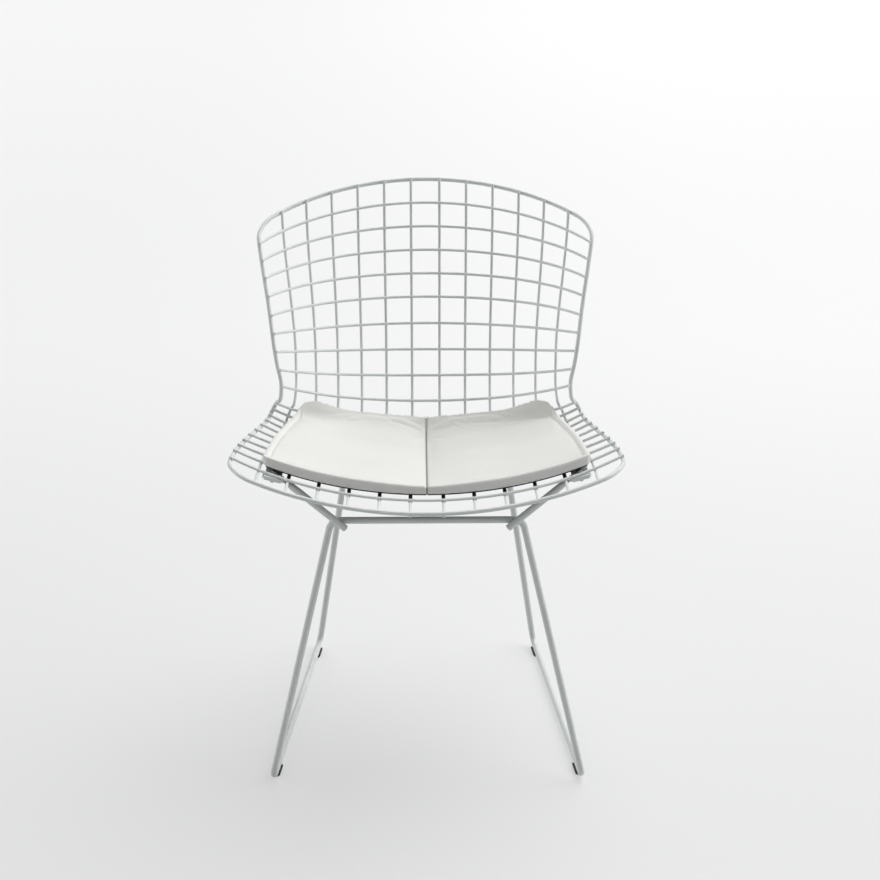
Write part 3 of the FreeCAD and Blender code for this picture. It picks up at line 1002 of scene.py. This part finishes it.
@dataclass
class SeatPad:
    """Two-panel leather pad with its black base, and black sleeves in front of it whose black is
    painted shade on the wires there.

    Args:
        leather: Finish of the panels.
        base_cloth: Finish of the base.
        painted_shade_sleeve: Black of the sleeves, painted shade that stands in for the shade on
            the wires in front of the pad.
        seam_shade_yarn: Dark finish of the seam thread, painted shade for the valley of the middle
            seam.
        cover: Cut of the panels.
        stuffing: How they are swollen.
        sewing: How they are sewn.
        thread: Thread between them.
        base_edge: Width of the base's rounded edge.
        base_edge_angle: Angle in degrees from which an edge of the base is rounded.
        base_smooth_angle: Angle in degrees up to which it is shaded smooth.
    """

    leather: bpy.types.Material
    base_cloth: bpy.types.Material
    painted_shade_sleeve: bpy.types.Material
    seam_shade_yarn: bpy.types.Material
    cover: Cover = Cover()
    stuffing: Stuffing = Stuffing()
    sewing: Sewing = Sewing()
    thread: SeamThread = SeamThread()
    base_edge: float = 0.5 * MM
    base_edge_angle: float = 50.0
    base_smooth_angle: float = 40.0

    def build(self) -> list[bpy.types.Object]:
        """Builds the pad.

        Returns:
            The pieces of the pad.
        """
        pieces = []
        for side in Side:
            pieces.append(self.build_panel(side))
            pieces.append(self.build_base(side))
        pieces.append(self.thread.build(pieces[0], self.seam_shade_yarn))
        # The sleeves are dressed black as painted shade: they stand in for the shade on the wires
        # just in front of the pad.
        for name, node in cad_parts.items():
            if "sleeve" in name:
                dress(node, self.painted_shade_sleeve)
        return pieces

    def build_panel(self, side: Side) -> bpy.types.Object:
        """Builds one stuffed panel.

        Args:
            side: Which half.

        Returns:
            The panel.
        """
        node = f"pad_panel_{side.label}"
        outline = PanelOutline(node, side.sign)
        panel = self.even_copy(outline, f"pad_cover_{side.label}", self.cover.voxel,
                               self.cover.ironing)
        self.stuff(panel, outline)
        self.sew(panel, outline)
        make_active(panel)
        bpy.ops.object.shade_smooth()
        dress(panel, self.leather)
        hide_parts(node)
        hold(panel)
        return panel

    def even_copy(
        self, outline: PanelOutline, name: str, voxel: float, ironing: int
    ) -> bpy.types.Object:
        """Copies a panel's node as an even, smoothed mesh with round outer corners.

        Args:
            outline: Plan outline with the node's name.
            name: Name of the copy.
            voxel: Size of its faces.
            ironing: Rounds of smoothing.

        Returns:
            The copy.
        """
        piece = copy_node(outline.node, name)
        apply_modifier(piece, "REMESH", mode="VOXEL", voxel_size=voxel)
        apply_modifier(piece, "SMOOTH", factor=0.5, iterations=ironing)
        points = read_points(piece) - read_normals(piece) * self.cover.shrink
        points = outline.round_corner(points, True, self.cover.rear_radius)
        write_points(piece, outline.round_corner(points, False, self.cover.front_radius))
        return piece

    def stuff(self, panel: bpy.types.Object, outline: PanelOutline) -> None:
        """Swells the cover between its sewn lines with a short cloth simulation.

        A coarser copy is simulated, and its swelling is blended onto the cover.

        Args:
            panel: Remeshed cover.
            outline: Its plan outline.
        """
        trial = self.even_copy(outline, "stuffing_trial", self.stuffing.voxel,
                               self.stuffing.ironing)
        start = read_points(trial)
        upper = read_normals(trial)[:, 2] > self.stuffing.upward
        edge = outline.stitched_distance(start)
        stitched = upper & (np.abs(edge - self.sewing.inset) < self.sewing.width)
        in_seam = np.abs(start[:, 0]) < self.sewing.width
        group = trial.vertex_groups.new(name="held")
        group.add(np.flatnonzero(stitched | ~upper | in_seam).tolist(), 1.0, "REPLACE")
        shift = self.simulate(trial, group.name) - start
        length = np.linalg.norm(shift, axis=1)
        LOG.info("cloth moved up to %.1f mm, middle %.2f mm", length.max() / MM,
                 np.median(length) / MM)
        scale = np.minimum(1.0, self.stuffing.cap / np.maximum(length, SMALLEST_LENGTH))
        bpy.data.objects.remove(trial)
        self.blend(panel, start, shift * scale[:, None])

    def simulate(self, trial: bpy.types.Object, held: str) -> np.ndarray:
        """Runs the cloth simulation.

        Args:
            trial: Coarse cover.
            held: Name of the group of vertices that stay.

        Returns:
            Vertex positions at its end.
        """
        make_active(trial)
        cloth = trial.modifiers.new("stuffing", "CLOTH")
        settings = cloth.settings
        settings.quality = self.stuffing.quality
        settings.mass = self.stuffing.mass
        settings.tension_stiffness = self.stuffing.stretch
        settings.compression_stiffness = self.stuffing.stretch
        settings.bending_stiffness = self.stuffing.bending
        settings.use_pressure = True
        settings.uniform_pressure_force = self.stuffing.pressure
        settings.effector_weights.gravity = 0.0
        settings.vertex_group_mass = held
        cloth.point_cache.frame_start = 1
        cloth.point_cache.frame_end = self.stuffing.frames
        for step in range(1, self.stuffing.frames + 1):
            bpy.context.scene.frame_set(step)
        swollen = read_points(trial.evaluated_get(bpy.context.evaluated_depsgraph_get()))
        bpy.context.scene.frame_set(1)
        return swollen

    def blend(self, panel: bpy.types.Object, places: np.ndarray, shift: np.ndarray) -> None:
        """Moves the cover by the swelling found near each of its vertices.

        Args:
            panel: Fine cover.
            places: Where the swelling was found.
            shift: Swelling at each place.
        """
        tree = KDTree(len(places))
        for index, place in enumerate(places):
            tree.insert(place, index)
        tree.balance()
        points = read_points(panel)
        near = [tree.find_n(point, self.stuffing.neighbours) for point in points]
        index = np.array([[found[1] for found in row] for row in near])
        distance = np.array([[found[2] for found in row] for row in near])
        closeness = 1 / (distance + self.stuffing.blur)
        share = closeness / closeness.sum(axis=1, keepdims=True)
        write_points(panel, points + (shift[index] * share[:, :, None]).sum(axis=1))

    def sew(self, panel: bpy.types.Object, outline: PanelOutline) -> None:
        """Shapes the rolled edge, the top stitching and the middle seam of the cover.

        Args:
            panel: Stuffed cover.
            outline: Its plan outline.
        """
        sewing = self.sewing
        points = read_points(panel)
        level = read_normals(panel)[:, 2]
        edge = outline.stitched_distance(points)
        upper = np.clip((level - sewing.wall_normal) / sewing.wall_fade, 0.0, 1.0)
        reach = (edge - sewing.inset) / sewing.width
        points[:, 2] -= sewing.depth * np.exp(-(reach**2)) * upper
        roll = np.clip(np.abs(2 * edge / sewing.inset - 1), 0.0, 1.0)
        points[:, 2] += sewing.roll * np.sqrt(1 - roll**2) * upper
        seam = np.abs(points[:, 0])
        inner = np.clip(1 - seam / sewing.seam_radius, 0.0, 1.0)
        points[:, 2] -= sewing.seam_drop * (1 - np.sqrt(1 - inner**2)) * upper
        points[:, 0] -= outline.sign * (seam.min() - sewing.seam_gap) * inner
        write_points(panel, points)

    def build_base(self, side: Side) -> bpy.types.Object:
        """Builds the black base under one panel.

        Args:
            side: Which half.

        Returns:
            The base sheet with a rounded edge.
        """
        node = f"pad_underside_{side.label}"
        base = copy_node(node, f"pad_base_{side.label}")
        apply_modifier(base, "BEVEL", width=self.base_edge, segments=2, limit_method="ANGLE",
                       angle_limit=math.radians(self.base_edge_angle))
        make_active(base)
        bpy.ops.object.shade_smooth_by_angle(angle=math.radians(self.base_smooth_angle))
        dress(base, self.base_cloth)
        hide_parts(node)
        return hold(base)


@dataclass
class WireFrame:
    """Painted basket and base, which keep their CAD meshes.

    Args:
        paint: Finish of the welded steel.
        fastener: Finish of the screws and nuts.
        glide_plastic: Finish of the glides.
        bead_radius: Radius of a weld bead.
        bead_drop: Its distance below the wire's front end.
        bead_forward: Its distance in front of that end.
        end_length: Length of wire that counts as its end.
        beaded_wires: Wires with a bead.
        fasteners: Nodes of the screws and nuts.
    """

    paint: bpy.types.Material
    fastener: bpy.types.Material
    glide_plastic: bpy.types.Material
    bead_radius: float = 1.9 * MM
    bead_drop: float = 4.3 * MM
    bead_forward: float = 2.4 * MM
    end_length: float = 0.5 * MM
    beaded_wires: tuple[str, ...] = ("lengthwise_wire_06", "lengthwise_wire_07")
    fasteners: tuple[str, ...] = ("mounting_screws", "mounting_nuts")

    def add_beads(self) -> bpy.types.Object:
        """Adds the weld beads under the front rim where the middle wires meet it.

        Returns:
            One piece with both beads.
        """
        beads = []
        for name in self.beaded_wires:
            points = read_points(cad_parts[name])
            end = points[points[:, 1] < points[:, 1].min() + self.end_length].mean(axis=0)
            deselect_all()
            place = Vector(end) - Vector((0.0, self.bead_forward, self.bead_drop))
            bpy.ops.mesh.primitive_ico_sphere_add(subdivisions=3, radius=self.bead_radius,
                                                  location=place)
            beads.append(bpy.context.object)
        make_active(beads[0])
        for bead in beads:
            bead.select_set(True)
        bpy.ops.object.join()
        bpy.ops.object.transform_apply()
        bpy.ops.object.shade_smooth()
        piece = bpy.context.object
        piece.name = "front_weld_beads"
        dress(piece, self.paint)
        return hold(piece)

    def dress_nodes(self) -> None:
        """Puts the finishes on the CAD nodes that stay."""
        for name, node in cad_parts.items():
            if name.startswith("glide"):
                dress(node, self.glide_plastic)
            elif name in self.fasteners:
                dress(node, self.fastener)
            elif not name.startswith("pad_"):
                dress(node, self.paint)


@dataclass(frozen=True)
class BroadLamp:
    """Far lamp with a wide soft spread, aimed at the chair.

    Args:
        name: Name of the lamp.
        place: Where it hangs.
        strength: Strength of its light.
        spread: Apparent width in degrees.
    """

    name: str
    place: tuple[float, float, float]
    strength: float
    spread: float


@dataclass
class Studio:
    """Floor, lamps and camera.

    Args:
        paper: Finish of the floor.
        floor_size: Width and depth of the floor.
        camera_place: Where the camera stands.
        camera_down: Degrees that it looks down.
        camera_pan: Degrees that it is turned to the left.
        camera_lens: Focal length.
        sensor: Width of its sensor.
        farthest: Distance up to which it sees.
        sky_tone: Colour of the even sky.
        sky_strength: Strength of that light.
        lamps: The lamps.
    """

    paper: bpy.types.Material
    floor_size: float = 60.0
    camera_place: tuple[float, float, float] = (-0.0071, -2.6403, 1.5409)
    camera_down: float = 22.76
    camera_pan: float = -0.6
    camera_lens: float = 77.84
    sensor: float = 36.0
    farthest: float = 100.0
    sky_tone: Tone = (0.97, 0.985, 1.0)
    sky_strength: float = 0.14
    lamps: tuple[BroadLamp, ...] = (
        BroadLamp("ceiling_lamp", (1.1, 1.4, 2.8), 2.3, 60.0),
        BroadLamp("right_lamp", (3.0, -0.1, 1.2), 1.25, 50.0),
        BroadLamp("left_lamp", (-3.0, -0.1, 1.2), 1.0, 50.0),
    )

    def build(self) -> None:
        """Builds the studio round the chair."""
        self.build_floor()
        self.build_lamps()
        self.build_camera()

    def build_floor(self) -> None:
        """Lays the seamless paper floor."""
        deselect_all()
        bpy.ops.mesh.primitive_plane_add(size=self.floor_size)
        floor = bpy.context.object
        floor.name = "studio_floor"
        dress(floor, self.paper)

    def build_lamps(self) -> None:
        """Hangs a broad lamp over the rear right, one at each side and an even sky."""
        world = bpy.data.worlds.new("studio_sky")
        world.use_nodes = True
        bpy.context.scene.world = world
        back = world.node_tree.nodes["Background"]
        back.inputs["Color"].default_value = opaque(self.sky_tone)
        back.inputs["Strength"].default_value = self.sky_strength
        for lamp in self.lamps:
            light = bpy.data.lights.new(lamp.name, "SUN")
            light.energy = lamp.strength
            light.angle = math.radians(lamp.spread)
            stand = bpy.data.objects.new(lamp.name, light)
            stand.location = lamp.place
            aim = Vector(lamp.place) * -1
            stand.rotation_euler = aim.to_track_quat("-Z", "Y").to_euler()
            bpy.context.collection.objects.link(stand)

    def build_camera(self) -> None:
        """Sets the camera at the photographed view."""
        lens = bpy.data.cameras.new("camera")
        lens.lens = self.camera_lens
        lens.sensor_width = self.sensor
        lens.clip_end = self.farthest
        camera = bpy.data.objects.new("camera", lens)
        camera.location = self.camera_place
        camera.rotation_euler = (math.radians(90 - self.camera_down), 0.0,
                                 math.radians(self.camera_pan))
        bpy.context.collection.objects.link(camera)
        bpy.context.scene.camera = camera


def main() -> None:
    """Dresses the frame, builds the pad and sets up the studio."""
    bpy.context.scene.view_settings.view_transform = "Standard"
    wire_frame = WireFrame(
        paint=PowderCoat().build("white_powder_coat"),
        fastener=PlatedSteel().build("zinc_plate"),
        glide_plastic=DarkMoulding().build("glide_plastic"),
    )
    wire_frame.dress_nodes()
    wire_frame.add_beads()
    LOG.info("dressed %d nodes", len(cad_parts))
    pad = SeatPad(
        leather=UpholsteryLeather().build("pad_leather"),
        base_cloth=DarkMoulding(relief_scale=1400.0, relief_strength=0.6).build("base_cloth"),
        # Black for the sleeves: painted shade on the wires in front of the pad.
        painted_shade_sleeve=DarkMoulding(roughness=(0.42, 0.55)).build("painted_shade_sleeve"),
        # Dark olive for the seam thread: painted shade in the valley of the middle seam.
        seam_shade_yarn=DarkMoulding(light_tone=(0.30, 0.29, 0.20), dark_tone=(0.22, 0.21, 0.14),
                                 roughness=(0.6, 0.8)).build("seam_shade_yarn"),
    )
    for piece in pad.build():
        LOG.info("built %s with %d faces", piece.name, len(piece.data.polygons))
    Studio(paper=StudioPaper().build("studio_paper")).build()


if __name__ == "__main__":
    main()
